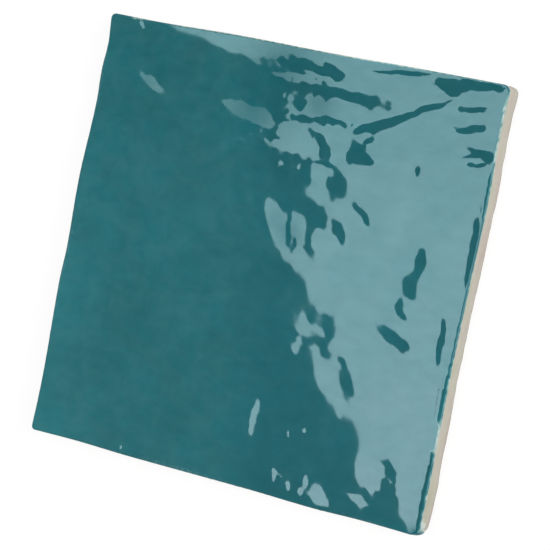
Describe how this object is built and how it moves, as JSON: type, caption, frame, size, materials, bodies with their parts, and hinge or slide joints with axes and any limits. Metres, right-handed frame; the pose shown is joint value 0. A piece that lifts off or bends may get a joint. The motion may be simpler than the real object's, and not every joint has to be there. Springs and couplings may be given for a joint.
{
  "type": "glazed wall tile",
  "caption": "Square ceramic wall tile with a glossy teal glaze over a wavy hand-pressed face, softened edges, bare biscuit sides and a keyed back for adhesive.",
  "frame": {"origin": "middle of the tile's back, on the plane of its keying ribs", "axes": "+X to the right of the glazed face, +Y up the face as it hangs on a wall, +Z out of the glaze"},
  "size_m": [0.1327, 0.1325, 0.0087],
  "materials": {
    "glaze": "gloss"
  },
  "bodies": {
    "root": {"tile": "glaze"}
  },
  "joints": []
}
